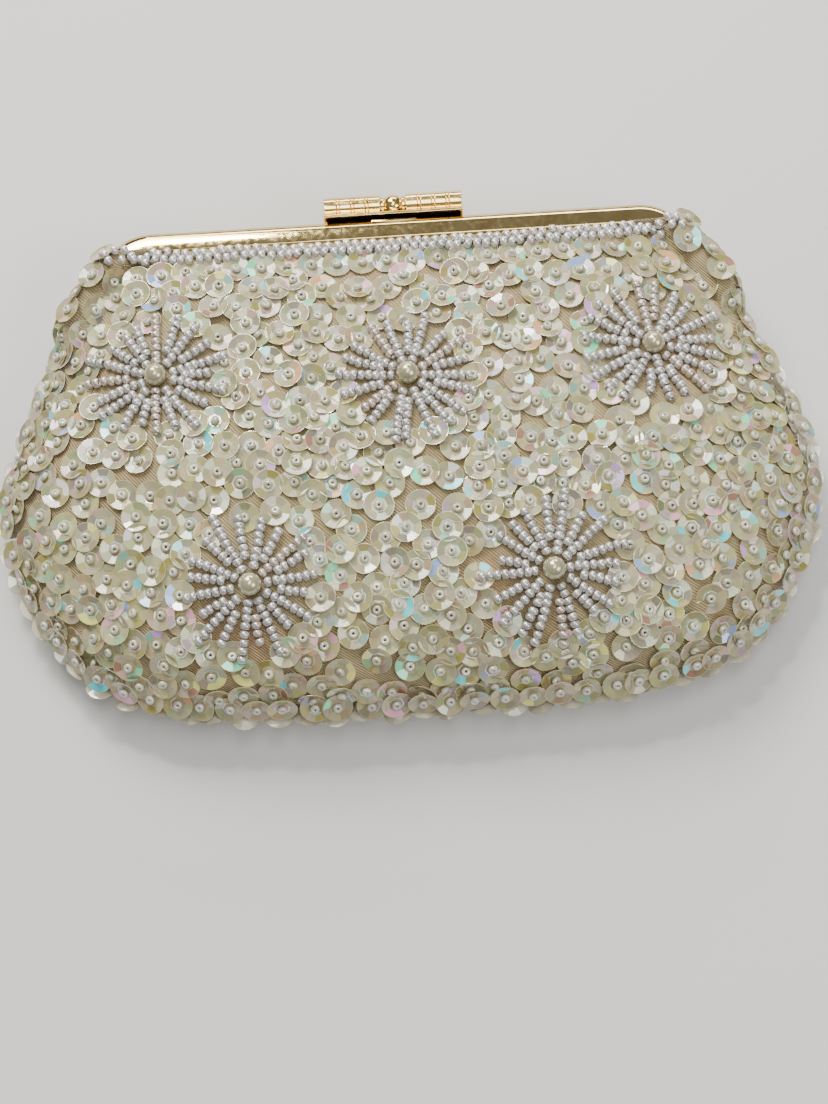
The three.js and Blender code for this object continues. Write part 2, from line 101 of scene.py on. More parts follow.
FRONT_CLOTH_DEPTH = 1.7  # satin below the beadwork's outer surface
BACK_CLOTH_DEPTH = 2.2
FRONT_SWELL, BACK_SWELL = 0.9, 0.25  # most that the simulation may move the satin
BUCKRAM_DEPTH, LINING_DEPTH = 2.5, 3.3
SATIN_THICKNESS, BUCKRAM_THICKNESS, LINING_THICKNESS = 0.35, 0.4, 0.3
COVER_HALF = 3.1  # satin drawn over the frame's legs, either side of their centre line
COVER_RISE = 5.4
COVER_TOP_Y = 43.3
COVER_FROM_X = 44.0
COVER_TO_X = 50.0
SEQUIN_RADIUS = 3.0
SEQUIN_SPACING = 3.95
SEQUIN_TRIES = 30000
FIRST_ROW_Y = 36.9  # the straight row of sequins under the bead border
FIRST_ROW_HALF, FIRST_ROW_PITCH = 58, 5.1
BEAD_RADIUS = 1.05
BEAD_PITCH = 1.45
PEARL_RADIUS = 2.25
FLOWER_RADIUS = 14.0
FLOWER_SPOKES = 20
GREY_SPOKES = 0.86  # share of the spokes; the rest are pinker
LONG_SPOKE_START, SHORT_SPOKE_START = 3.3, 5.7
BORDER_HALF = 59.0  # the bead border reaches this far either side of the middle
BORDER_PITCH = 1.82
BORDER_ROWS = (2.1, 3.7)  # below the top of the drawn-over satin
BELOW_BORDER = 5.4
FRONT_SEAM_PITCH, BACK_SEAM_PITCH = 5.3, 5.7
FRONT_SEAM_TOP, BACK_SEAM_TOP = 40, 36
TABLE_CLEARANCE = 0.05  # no bead or sequin reaches lower than this

random = np.random.default_rng(7)

# ---- materials ----


class Paint:
    """A node material with short calls for the few nodes used here."""

    def __init__(self, name):
        self.material = bpy.data.materials.new(name)
        self.material.use_nodes = True
        self.nodes = self.material.node_tree.nodes
        self.links = self.material.node_tree.links
        self.shader = self.nodes["Principled BSDF"]
        self.place = self.nodes.new("ShaderNodeTexCoord").outputs["Object"]

    def node(self, kind, **values):
        made = self.nodes.new(kind)
        for key, value in values.items():
            setattr(made, key, value)
        return made

    def set(self, **values):
        for key, value in values.items():
            self.shader.inputs[key.replace("_", " ")].default_value = value

    def noise(self, scale, detail=3.0):
        made = self.node("ShaderNodeTexNoise")
        made.inputs["Scale"].default_value = scale
        made.inputs["Detail"].default_value = detail
        self.links.new(self.place, made.inputs["Vector"])
        return made.outputs["Fac"]

    def ramp(self, value, low, high, start=0.3, end=0.7):
        """From the low colour at start to the high colour at end."""
        made = self.node("ShaderNodeValToRGB")
        for element, position, colour in zip(made.color_ramp.elements, (start, end), (low, high)):
            element.position = position
            element.color = (*colour, 1.0)
        self.links.new(value, made.inputs["Fac"])
        return made.outputs["Color"]

    def roughness(self, value, low, high, start=0.3, end=0.7):
        self.feed("Roughness", self.ramp(value, (low,) * 3, (high,) * 3, start, end))

    def mix(self, factor, a, b, blend="MIX"):
        made = self.node("ShaderNodeMix", data_type="RGBA", blend_type=blend)
        sockets = made.inputs["Factor"], made.inputs[6], made.inputs[7]
        for socket, value in zip(sockets, (factor, a, b)):
            if isinstance(value, (int, float)):
                socket.default_value = value
            elif isinstance(value, tuple):
                socket.default_value = (*value, 1.0)
            else:
                self.links.new(value, socket)
        return made.outputs[2]

    def attribute(self, name):
        return self.node("ShaderNodeAttribute", attribute_name=name)

    def feed(self, socket, value):
        self.links.new(value, self.shader.inputs[socket])

    def bump(self, height, distance, strength=1.0):
        made = self.node("ShaderNodeBump")
        made.inputs["Distance"].default_value = distance
        made.inputs["Strength"].default_value = strength
        self.links.new(height, made.inputs["Height"])
        self.links.new(made.outputs["Normal"], self.shader.inputs["Normal"])


def gold(name, dark, bright, roughness):
    paint = Paint(name)
    paint.feed("Base Color", paint.ramp(paint.noise(260.0), dark, bright, 0.35))
    paint.roughness(paint.noise(900.0, 5.0), roughness, roughness + 0.1, 0.4, 0.75)
    paint.set(Metallic=1.0)
    paint.bump(paint.noise(2600.0, 2.0), 0.00001, 0.25)
    return paint.material


def satin(name, deep, pale, stain):
    """Twill-faced satin: fine diagonal ribs with painted shade in their grooves, slow colour changes
    and a few warmer patches.
    """
    paint = Paint(name)
    ribs = paint.node("ShaderNodeTexWave", bands_direction="DIAGONAL")
    ribs.inputs["Scale"].default_value = 820.0
    ribs.inputs["Distortion"].default_value = 1.2
    ribs.inputs["Detail"].default_value = 1.0
    paint.links.new(paint.place, ribs.inputs["Vector"])
    cloud = paint.ramp(paint.noise(55.0), deep, pale)
    patch = paint.ramp(paint.noise(38.0, 2.0), (0, 0, 0), (0.55, 0.55, 0.55), 0.56, 0.72)
    colour = paint.mix(patch, cloud, stain)
    # painted shade: the grooves between the ribs are darkened in the colour as well as bumped
    shade = paint.ramp(ribs.outputs["Fac"], (0.62, 0.6, 0.56), (1, 1, 1), 0.0, 0.6)
    paint.feed("Base Color", paint.mix(1.0, colour, shade, "MULTIPLY"))
    paint.roughness(ribs.outputs["Fac"], 0.6, 0.4, 0.0, 1.0)
    paint.set(Sheen_Weight=0.25)
    paint.bump(ribs.outputs["Fac"], 0.0003, 0.9)
    return paint.material


def sequin_film():
    """Clear film with a pearl coating: every facet has its own tint, and on some the tint is a painted
    glint.
    """
    paint = Paint("sequin_film")
    tint = paint.attribute("tint")
    cloud = paint.ramp(paint.noise(420.0), (0.86, 0.84, 0.74), (1.0, 1.0, 0.96))
    paint.feed("Base Color", paint.mix(1.0, tint.outputs["Color"], cloud, "MULTIPLY"))
    paint.roughness(paint.noise(150.0, 0.0), 0.16, 0.22)
    paint.feed("Alpha", tint.outputs["Alpha"])
    paint.set(Metallic=0.08, Coat_Weight=1.0, Coat_Roughness=0.1, Coat_IOR=1.55)
    paint.set(Thin_Film_Thickness=380.0, Thin_Film_IOR=1.6)
    return paint.material


def bead_glass(name, roughness, coat, metallic=0.0):
    paint = Paint(name)
    tint = paint.attribute("tint")
    cloud = paint.ramp(paint.noise(900.0), (0.88, 0.88, 0.9), (1.0, 1.0, 1.0))
    paint.feed("Base Color", paint.mix(1.0, tint.outputs["Color"], cloud, "MULTIPLY"))
    paint.roughness(paint.noise(500.0), roughness, roughness + 0.1)
    paint.set(Metallic=metallic, Coat_Weight=coat, Coat_Roughness=0.04, Coat_IOR=2.0)
    paint.set(Subsurface_Weight=0.2, Subsurface_Scale=0.001, Subsurface_Radius=(1.0, 0.9, 0.8))
    return paint.material


def fibre(name, scale, detail, colours, roughness, strength):
    """Dull, grainy stuff: stiffened cloth or twisted paper."""
    paint = Paint(name)
    grain = paint.noise(scale, detail)
    paint.feed("Base Color", paint.ramp(grain, *colours))
    paint.roughness(grain, *roughness)
    paint.bump(grain, 0.0001, strength)
    return paint.material


FRAME_GOLD = gold("frame_gold", (0.62, 0.46, 0.19), (0.78, 0.6, 0.28), 0.06)
CLASP_GOLD = gold("clasp_gold", (0.8, 0.58, 0.2), (0.95, 0.74, 0.33), 0.1)
FACE_SATIN = satin("face_satin", (0.42, 0.32, 0.16), (0.52, 0.42, 0.23), (0.52, 0.3, 0.14))
LINING_SATIN = satin("lining_satin", (0.74, 0.6, 0.45), (0.84, 0.72, 0.57), (0.76, 0.62, 0.47))
SEQUIN_FILM = sequin_film()
SEED_PEARL = bead_glass("seed_pearl", 0.22, 1.0, 0.45)
CENTRE_BEAD = bead_glass("centre_bead", 0.08, 1.0)
CREAM_PEARL = bead_glass("cream_pearl", 0.2, 1.0, 0.45)
BUCKRAM = fibre("buckram", 1500.0, 4.0, [(0.55, 0.49, 0.37), (0.68, 0.62, 0.5)], (0.85, 0.98), 0.6)
PAPER = fibre("paper_cord", 800.0, 5.0, [(0.42, 0.3, 0.18), (0.6, 0.46, 0.3)], (0.8, 0.95), 0.8)

# ---- mesh helpers ----


def piece(name, points, faces, material, slot, smooth_angle):
    """A mesh object from millimetre points, smooth except across sharp edges."""
    mesh = bpy.data.meshes.new(name)
    mesh.from_pydata((np.asarray(points, float) * MM).tolist(), [], faces)
    mesh.materials.append(material)
    made = bpy.data.objects.new(name, mesh)
    bpy.context.scene.collection.objects.link(made)
    smooth(mesh, smooth_angle)
    return made


def smooth(mesh, angle):
    work = bmesh.new()
    work.from_mesh(mesh)
    bmesh.ops.recalc_face_normals(work, faces=work.faces)
    limit = math.radians(angle)
    for face in work.faces:
        face.smooth = angle > 0
    for edge in work.edges:
        edge.smooth = len(edge.link_faces) == 2 and edge.calc_face_angle(0.0) < limit
    work.to_mesh(mesh)
    work.free()


def thicken(made, thickness, offset=-1.0):
    modifier = made.modifiers.new("thickness", "SOLIDIFY")
    modifier.thickness = thickness * MM
    modifier.offset = offset
    apply_modifiers(made)


def apply_modifiers(made):
    graph = bpy.context.evaluated_depsgraph_get()
    mesh = bpy.data.meshes.new_from_object(made.evaluated_get(graph))
    made.modifiers.clear()
    made.data = mesh


def sweep(rings, closed=False, caps=True):
    """Faces through rings of equal size, given as an array (rings, points, 3)."""
    count = rings.shape[1]
    faces = []
    steps = len(rings) if closed else len(rings) - 1
    for ring in range(steps):
        a, b = ring * count, ((ring + 1) % len(rings)) * count
        for side in range(count):
            after = (side + 1) % count
            faces.append((a + side, a + after, b + after, b + side))
    if caps and not closed:
        faces.append(tuple(range(count)))
        faces.append(tuple(range((len(rings) - 1) * count, len(rings) * count)))
    return rings.reshape(-1, 3), faces


def joined(parts):
    """Several (points, faces) as one."""
    points, faces, start = [], [], 0
    for some, shape in parts:
        points.append(np.asarray(some, float))
        faces += [tuple(start + i for i in face) for face in shape]
        start += len(some)
    return np.concatenate(points), faces


def lathe_x(profile, y, z, sides=48, closed=False):
    """Solid of revolution about a line along X: the profile is (x, radius) points."""
    turn = np.linspace(0, TAU, sides, endpoint=False)
    rings = np.array([
        [(x, y + radius * math.cos(angle), z + radius * math.sin(angle)) for angle in turn]
        for x, radius in profile
    ])
    return sweep(rings, closed=closed)


def rounded_polygon(corners, radii, steps=6):
    """Closed 2-D outline with each corner rounded by its radius."""
    corners = np.asarray(corners, float)
    points = []
    for i, (corner, radius) in enumerate(zip(corners, radii)):
        before = corners[i - 1] - corner
        after = corners[(i + 1) % len(corners)] - corner
        before /= np.linalg.norm(before)
        after /= np.linalg.norm(after)
        if radius <= 0:
            points.append(corner)
            continue
        half = math.acos(np.clip(before @ after, -1, 1)) / 2
        reach = radius / math.tan(half)
        middle = corner + (before + after) / np.linalg.norm(before + after) * radius / math.sin(half)
        start, end = corner + before * reach - middle, corner + after * reach - middle
        a0 = math.atan2(start[1], start[0])
        turn = (math.atan2(end[1], end[0]) - a0 + math.pi) % TAU - math.pi
        for step in range(steps + 1):
            angle = a0 + turn * step / steps
            points.append(middle + radius * np.array([math.cos(angle), math.sin(angle)]))
    return np.array(points)


def prism_x(outline, x0, x1, bevel=0.12):
    """Outline in (y, z), extruded along X with a small rounded edge at both ends."""
    outline = np.asarray(outline, float)
    middle = outline.mean(axis=0)
    rings = []
    for x, inset in ((x0, bevel), (x0 + bevel, 0), (x1 - bevel, 0), (x1, bevel)):
        away = outline - middle
        flat = middle + away * (1 - inset / np.maximum(np.linalg.norm(away, axis=1, keepdims=True), 1))
        rings.append(np.column_stack([np.full(len(flat), x), flat]))
    return sweep(np.array(rings))


def unit(vectors):
    vectors = np.asarray(vectors, float)
    return vectors / np.maximum(np.linalg.norm(vectors, axis=-1, keepdims=True), 1e-9)


# ---- the pillow shape ----


def closed_spline(points, per_span=24):
    """Catmull-Rom curve through a closed loop of points."""
    points = np.asarray(points, float)
    t = np.linspace(0, 1, per_span, endpoint=False)[:, None]
    spans = []
    for i in range(len(points)):
        p0, p1, p2, p3 = (points[(i + k) % len(points)] for k in (-1, 0, 1, 2))
        spans.append(0.5 * (
            2 * p1 + (p2 - p0) * t + (2 * p0 - 5 * p1 + 4 * p2 - p3) * t ** 2
            + (3 * p1 - p0 - 3 * p2 + p3) * t ** 3
        ))
    return np.concatenate(spans)


def polar_table(loop):
    """Radius against angle, about the bag's fullest point."""
    arms = loop - CENTRE
    angle = np.arctan2(arms[:, 1], arms[:, 0])
    order = np.argsort(angle)
    return angle[order], np.linalg.norm(arms, axis=1)[order]


HALF = OUTLINE[1:-1]
LOOP = closed_spline([OUTLINE[0], *HALF, OUTLINE[-1], *[(-x, y) for x, y in reversed(HALF)]])
SEAM_TABLE = polar_table(LOOP)
LEG_OUT = np.array([math.cos(SPLAY), math.sin(SPLAY)])
LEG_UP = np.array([-math.sin(SPLAY), math.cos(SPLAY)])


def seam_radius(angle):
    return np.interp(angle, *SEAM_TABLE, period=TAU)


def smoothstep(value, start, end):
    t = np.clip((value - start) / (end - start), 0, 1)
    return t * t * (3 - 2 * t)


def frame_path(start):
    """Stations along the U-shaped centre line: points and outward directions in the plan."""
    corner_y = FRAME_LINE_Y - FRAME_CORNER
    length = (corner_y - HINGE[1] + FRAME_CORNER * LEG_OUT[1]) / LEG_UP[1]
    corner = HINGE + LEG_UP * length - LEG_OUT * FRAME_CORNER
    right = [(HINGE + LEG_UP * along, LEG_OUT) for along in np.linspace(start, length, 6)]
    for angle in np.linspace(SPLAY, math.pi / 2, 22)[1:]:
        out = np.array([math.cos(angle), math.sin(angle)])
        right.append((corner + out * FRAME_CORNER, out))
    up = np.array([0.0, 1.0])
    right += [(np.array([x, FRAME_LINE_Y]), up) for x in np.linspace(corner[0], 0, 9)[1:-1]]
    mirror = np.array([-1.0, 1.0])
    middle = [(np.array([0.0, FRAME_LINE_Y]), up)]
    return right + middle + [(point * mirror, out * mirror) for point, out in reversed(right)]


def frame_distance(x, y):
    """How far plan points are from the frame's centre line, legs and hinges included."""
    line = np.array([point for point, _ in frame_path(0.0)])
    line = line[:len(line) // 2 + 1]
    spot = np.column_stack([np.abs(x), y])[:, None, :]
    start, run = line[:-1], np.diff(line, axis=0)
    share = np.clip(((spot - start) * run).sum(axis=2) / (run ** 2).sum(axis=1), 0, 1)
    return np.linalg.norm(spot - start - share[:, :, None] * run, axis=2).min(axis=1)


def cloth_radius(angle, inset, cover):
    """Edge of the cloth: the seam line, the frame's channel, and the outer side of the legs."""
    ray = np.column_stack([np.cos(angle), np.sin(angle)])
    low, high = np.full(len(angle), 40.0), np.full(len(angle), 95.0)
    seam = seam_radius(angle)
    for _ in range(26):
        middle = (low + high) / 2
        x, y = (CENTRE + ray * middle[:, None]).T
        covered = smoothstep(np.abs(x), COVER_FROM_X, COVER_TO_X) if cover else 0.0
        top = FRAME_LINE_Y - inset + (COVER_TOP_Y - FRAME_LINE_Y + inset) * covered
        if cover:
            beside = (middle < seam) | (frame_distance(x, y) < COVER_HALF)
        else:
            leg = np.column_stack([np.abs(x), y]) @ LEG_OUT < HINGE @ LEG_OUT - inset
            beside = (middle < seam) & (leg | (y < HINGE[1] - 2))
        inside = beside & (y < top)
        low, high = np.where(inside, middle, low), np.where(inside, high, middle)
    return low


def front_height(y, reach, depth):
    up = np.clip((y - CENTRE[1]) / (MOUTH_Y - CENTRE[1]), 0, None)
    crown = FRONT_RISE - (FRONT_RISE - FRONT_MOUTH_RISE) * up ** 1.35
    return (crown - depth) * np.sqrt(np.clip(1 - reach ** 3.2, 0, 1))


def back_height(y, reach, depth):
    up = np.clip((y - BACK_FLAT_END) / (MOUTH_Y - BACK_FLAT_END), 0, None)
    crown = SEAM_Z - (SEAM_Z - BACK_MOUTH_DEPTH) * up ** 1.5
    return -(crown - depth) * np.minimum(1, 1.25 * np.sqrt(np.clip(1 - reach ** 3.2, 0, 1)))


AROUND = 240
RINGS = 36


def panel_grid(height, depth, inset, cover):
    """Points and faces of one side of the pillow, at a depth below its outer surface."""
    angle = np.linspace(-math.pi / 2, 1.5 * math.pi, AROUND, endpoint=False)
    edge, seam = cloth_radius(angle, inset, cover), seam_radius(angle)
    side = -1 if height is back_height else 1
    ray = np.column_stack([np.cos(angle), np.sin(angle)])
    points = [(*CENTRE, SEAM_Z + float(height(CENTRE[1], np.array(0.0), depth)))]
    for share in np.sin(np.linspace(0, math.pi / 2, RINGS + 1))[1:]:
        near_frame = smoothstep(CENTRE[1] + ray[:, 1] * edge, 10, 26) if cover else 0.0
        shrink = 1 - depth / seam * (1 - near_frame)
        flat = CENTRE + ray * (edge * share * shrink)[:, None]
        rise = np.abs(height(flat[:, 1], np.minimum(edge * share / seam, 1.0), depth))
        if cover:
            beside = np.clip(frame_distance(*flat.T) / COVER_HALF, 0, 1)
            covered = smoothstep(np.abs(flat[:, 0]), COVER_FROM_X, COVER_TO_X)
            rise = np.maximum(rise, COVER_RISE * np.sqrt(1 - beside ** 6) * covered)
        points += list(np.column_stack([flat, SEAM_Z + side * (rise + 0.15)]))
    faces = [(0, 1 + i, 1 + (i + 1) % AROUND) for i in range(AROUND)]
    for ring in range(RINGS - 1):
        a, b = 1 + ring * AROUND, 1 + (ring + 1) * AROUND
        faces += [(a + i, b + i, b + (i + 1) % AROUND, a + (i + 1) % AROUND) for i in range(AROUND)]
    if height is back_height:
        faces = [tuple(reversed(face)) for face in faces]
    return np.array(points), faces


def inflate(made, cap):
    """Cloth simulation: the panel swells under a little pressure, held at its sewn edge.

    Only outward movement is kept, up to the cap, so the cloth stays off the stiffening behind it.
    """
    mesh = made.data
    rest = np.array([v.co for v in mesh.vertices])
    edge = made.vertex_groups.new(name="sewn")
    edge.add(list(range(len(rest) - AROUND, len(rest))), 1.0, "ADD")
    cloth = made.modifiers.new("cloth", "CLOTH")
    settings = dict(
        quality=5, mass=0.2, tension_stiffness=20, compression_stiffness=20, shear_stiffness=8,
        bending_stiffness=0.5, use_pressure=True, uniform_pressure_force=1.2, shrink_min=-0.012,
        vertex_group_mass="sewn", pin_stiffness=1.0)
    for key, value in settings.items():
        setattr(cloth.settings, key, value)
    cloth.settings.effector_weights.gravity = 0
    cloth.collision_settings.use_collision = False
    cloth.collision_settings.use_self_collision = False
    for number in range(1, 16):
        bpy.context.scene.frame_set(number)
    graph = bpy.context.evaluated_depsgraph_get()
    shaped = made.evaluated_get(graph).to_mesh()
    moved = np.array([v.co for v in shaped.vertices]) - rest
    made.evaluated_get(graph).to_mesh_clear()
    outward = np.array([v.normal for v in mesh.vertices])
    moved -= outward * np.minimum(0, (moved * outward).sum(axis=1, keepdims=True))
    made.modifiers.clear()
    bpy.context.scene.frame_set(1)
    length = np.linalg.norm(moved, axis=1, keepdims=True)
    moved *= np.minimum(1, cap * MM / np.maximum(length, 1e-9))
    mesh.vertices.foreach_set("co", (rest + moved).ravel())
    mesh.update()


def triangles_of(faces):
    return np.array([(f[0], f[i], f[i + 1]) for f in faces for i in range(1, len(f) - 1)])


def triangle_areas(points, triangles):
    """Area of each triangle, and its normal at twice that length."""
    corner = points[triangles]
    cross = np.cross(corner[:, 1] - corner[:, 0], corner[:, 2] - corner[:, 0])
    return np.linalg.norm(cross, axis=1) / 2, cross


def cloth_panel(name, height, depth, thickness, material, slot, swell=0.0, cover=False):
    points, faces = panel_grid(height, depth, 1.1, cover)
    made = piece(name, points, faces, material, slot, 60)
    if swell:
        inflate(made, swell)
    shaped = np.array([v.co for v in made.data.vertices]) / MM
    thicken(made, thickness)
    return made, shaped, faces


def across_hinge(made):
    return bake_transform(made)


# ---- beadwork ----


class Beads:
    """Many small copies of a few shapes, gathered into one mesh with a tint for each face."""

    def __init__(self):
        self.points, self.faces, self.tints, self.count = [], [], [], 0

    def add(self, shape, origin, axes, tints):
        """Axes are the columns of the copy's own x, y and z directions; tints has one per face."""
        points, faces = shape
        self.points.append(np.asarray(points) @ np.asarray(axes).T + origin)
        self.faces += [tuple(self.count + i for i in face) for face in faces]
        self.tints.append(tints)
        self.count += len(points)

    def build(self, name, material, slot, smooth_angle):
        points = np.concatenate(self.points)
        points[:, 2] = np.maximum(points[:, 2], TABLE_CLEARANCE)
        made = piece(name, points, self.faces, material, slot, smooth_angle)
        colours = np.concatenate(self.tints)
        layer = made.data.color_attributes.new("tint", "FLOAT_COLOR", "CORNER")
        counts = [len(face) for face in self.faces]
        layer.data.foreach_set("color", np.repeat(colours, counts, axis=0).ravel())
        return made


def frame_of(normal, heading):
    """Right-handed axes with z along the normal and x as near to the heading as it can be."""
    z = unit(normal)
    x = unit(heading - z * (heading @ z))
    return np.column_stack([x, np.cross(z, x), z])


FLOOR, CREASE, FACET, LIP, UNDER = range(5)


def sequin_shape(sides=7, per_side=3):
    """Faceted cup sequin: a flat floor round the hole, facets rising to a thin round rim."""
    hole, floor, crease, lip, rim_rise, film = 0.5, 1.36, 0.27, 0.14, 0.3, 0.08
    apothem = floor * math.cos(math.pi / sides)
    total = sides * per_side
    corners = [TAU * i / sides for i in range(sides)]
    rims = [TAU * i / total for i in range(total)]

    def rise(radius, angle):
        facing = TAU * (math.floor((angle + 1e-6) / (TAU / sides)) + 0.5) / sides
        return rim_rise * max(0.0, radius * math.cos(angle - facing) - apothem)

    top = [(hole * math.cos(a), hole * math.sin(a), 0.0) for a in corners]
    top += [(floor * math.cos(a), floor * math.sin(a), 0.0) for a in corners]
    outer = floor + crease
    top += [(outer * math.cos(a), outer * math.sin(a), crease * rim_rise) for a in corners]
    for radius in (SEQUIN_RADIUS - lip, SEQUIN_RADIUS):
        height_at = min(radius, SEQUIN_RADIUS - lip)
        top += [(radius * math.cos(a), radius * math.sin(a), rise(height_at, a)) for a in rims]
    count = len(top)
    points = top + [(x, y, z - film) for x, y, z in top]
    upper, kinds = [], []
    inner_rim, outer_rim = 3 * sides, 3 * sides + total
    for i in range(sides):
        j = (i + 1) % sides
        arc = [inner_rim + (i * per_side + k) % total for k in range(per_side + 1)]
        upper += [
            (i, sides + i, sides + j, j),
            (sides + i, 2 * sides + i, 2 * sides + j, sides + j),
            (2 * sides + i, *arc, 2 * sides + j),
        ]
        kinds += [FLOOR, CREASE, FACET]
    for k in range(total):
        after = (k + 1) % total
        upper.append((inner_rim + k, outer_rim + k, outer_rim + after, inner_rim + after))
        kinds.append(LIP)
    faces = upper + [tuple(count + p for p in reversed(face)) for face in upper]
    kinds += [UNDER] * len(upper)
    for k in range(total):
        a, b = outer_rim + k, outer_rim + (k + 1) % total
        faces.append((a, a + count, b + count, b))
        kinds.append(LIP)
    for i in range(sides):
        j = (i + 1) % sides
        faces.append((i, j, j + count, i + count))
        kinds.append(LIP)
    return (np.array(points), faces), np.array(kinds)


def bead_shape(radius, length, hole, sides=10):
    """Round seed bead with its hole along z."""
    half = length / 2
    profile = [(hole, -half * 0.7), (radius * 0.62, -half), (radius * 0.92, -half * 0.62), (radius, 0),
               (radius * 0.92, half * 0.62), (radius * 0.62, half), (hole, half * 0.7)]
    turn = np.linspace(0, TAU, sides, endpoint=False)
    rings = np.array([[(r * math.cos(a), r * math.sin(a), z) for a in turn] for r, z in profile])
    return sweep(rings, closed=True, caps=False)


def ball_shape(radius, rows=18, sides=28):
    rings = np.array([
        [(radius * math.sin(p) * math.cos(a), radius * math.sin(p) * math.sin(a), radius * math.cos(p))
         for a in np.linspace(0, TAU, sides, endpoint=False)]
        for p in np.linspace(0.04, math.pi - 0.04, rows)
    ])
    return sweep(rings)


SEQUIN, SEQUIN_KIND = sequin_shape()
SEED = bead_shape(BEAD_RADIUS, length=BEAD_PITCH * 0.98, hole=0.35)
SMALL_SEED = bead_shape(0.95, length=1.0, hole=0.26)
PEARL = ball_shape(PEARL_RADIUS)

CREAMS = np.array([
    (0.46, 0.43, 0.17), (0.28, 0.38, 0.17), (0.6, 0.55, 0.25), (0.5, 0.31, 0.17), (0.33, 0.33, 0.24),
    (0.44, 0.39, 0.06), (0.42, 0.47, 0.25), (0.48, 0.35, 0.33),
])
# Painted glints: bright iridescent and white colours that stand in for light caught and reflected by
# single facets.
PAINTED_GLINTS = np.array([
    (0.12, 0.8, 0.96), (0.34, 0.5, 1.0), (0.74, 0.44, 1.0), (1.0, 0.5, 0.7), (0.26, 1.0, 0.62),
    (1.0, 0.98, 0.32), (0.92, 0.5, 0.28), (1.0, 1.0, 0.92), (0.3, 0.92, 0.98),
])
SHADES = np.array([(0.44, 0.19, 0.13), (0.38, 0.33, 0.04), (0.28, 0.24, 0.22)])
CREASE_TINT = (0.62, 0.58, 0.36, 0.7)
LIP_TINT = (0.6, 0.56, 0.3, 0.8)
UNDER_TINT = (0.78, 0.74, 0.62, 1.0)
CLEAR, MOSTLY_CLEAR, SHADED, TINTED, GLINT_OPACITY = 0.35, 0.55, 0.7, 0.72, 0.9  # opacities of the film

PEARL_TONE = (0.5, 0.46, 0.27)
SEED_TONE = (0.55, 0.53, 0.505)
PINK_SEED_TONE = (0.56, 0.47, 0.4)
BORDER_TONE = (0.68, 0.66, 0.64)
HOLDING_BEAD_TONE = (0.56, 0.54, 0.42)
SEAM_BEAD_TONE = (0.6, 0.58, 0.52)


def pick(table):
    return table[random.integers(len(table))]


def sequin_tints():
    """One colour and opacity for each face: clear cream facets, some darker, and painted glints and
    highlights on some.
    """
    base = pick(CREAMS) * 0.45 + CREAMS[0] * 0.55
    base = base * (1 + random.normal(0, 0.07))
    tints = np.tile((*base, MOSTLY_CLEAR), (len(SEQUIN_KIND), 1))
    facets = np.flatnonzero(SEQUIN_KIND == FACET)
    for face in facets:
        tints[face, :3] = base * 0.28 + pick(CREAMS) * 0.72
        tints[face, :3] *= 1 + random.normal(0, 0.18)
        tints[face, 3] = random.uniform(CLEAR, TINTED)
        if random.random() < 0.08:
            tints[face] = (*pick(SHADES), SHADED)
    # painted glint on one or two neighbouring facets
    if random.random() < 0.5:
        first, colour = random.integers(len(facets)), pick(PAINTED_GLINTS)
        for step in range(random.integers(1, 3)):
            tints[facets[(first + step) % len(facets)]] = (*colour, GLINT_OPACITY)
    # a fainter painted glint on one facet, half film colour and half glint colour
    if random.random() < 0.5:
        face = pick(facets)
        tints[face] = (*(base * 0.5 + pick(PAINTED_GLINTS) * 0.45), TINTED)
    creases = np.flatnonzero(SEQUIN_KIND == CREASE)
    tints[creases] = CREASE_TINT
    # painted highlight: bright strokes along part of the crease, a glint colour mixed towards white
    # and fully opaque
    if random.random() < 0.6:
        first, colour = random.integers(len(creases)), pick(PAINTED_GLINTS) * 0.6 + 0.4
        for step in range(random.integers(2, 7)):
            tints[creases[(first + step) % len(creases)]] = (*colour, 1.0)
    tints[SEQUIN_KIND == LIP] = LIP_TINT
    tints[SEQUIN_KIND == UNDER] = UNDER_TINT
    return np.clip(tints, 0, 1)


def plain_tints(shape, colour, spread):
    tint = np.clip(np.array(colour) + random.normal(0, spread), 0, 1)
    return np.tile((*tint, 1.0), (len(shape[1]), 1))


class Skin:
    """The satin's surface, for placing what is sewn on it."""

    def __init__(self, points, faces):
        self.points = points
        self.triangles = triangles_of(faces)
        self.tree = BVHTree.FromPolygons(points.tolist(), [list(map(int, t)) for t in self.triangles])
        self.areas, cross = triangle_areas(points, self.triangles)
        normals = np.zeros_like(points)
        for k in range(3):
            np.add.at(normals, self.triangles[:, k], cross)
        self.normals = unit(normals)

    def scatter(self, count):
        """Random points, evenly spread over the surface, with their normals."""
        chosen = random.choice(len(self.triangles), count, p=self.areas / self.areas.sum())
        u, v = random.random(count), random.random(count)
        over = u + v > 1
        u[over], v[over] = 1 - u[over], 1 - v[over]
        weights = np.column_stack([1 - u - v, u, v])[:, :, None]
        corners = self.triangles[chosen]
        places = (self.points[corners] * weights).sum(axis=1)
        return places, unit((self.normals[corners] * weights).sum(axis=1))

    def under(self, x, y, side):
        """Surface point and normal above or below a point of the plan."""
        hit = self.tree.ray_cast(Vector((x, y, SEAM_Z + side * 40)), Vector((0, 0, -side)))
        if hit[0] is None:
            return None
        normal = np.array(hit[1])
        return np.array(hit[0]), normal * np.sign(normal[2] * side)


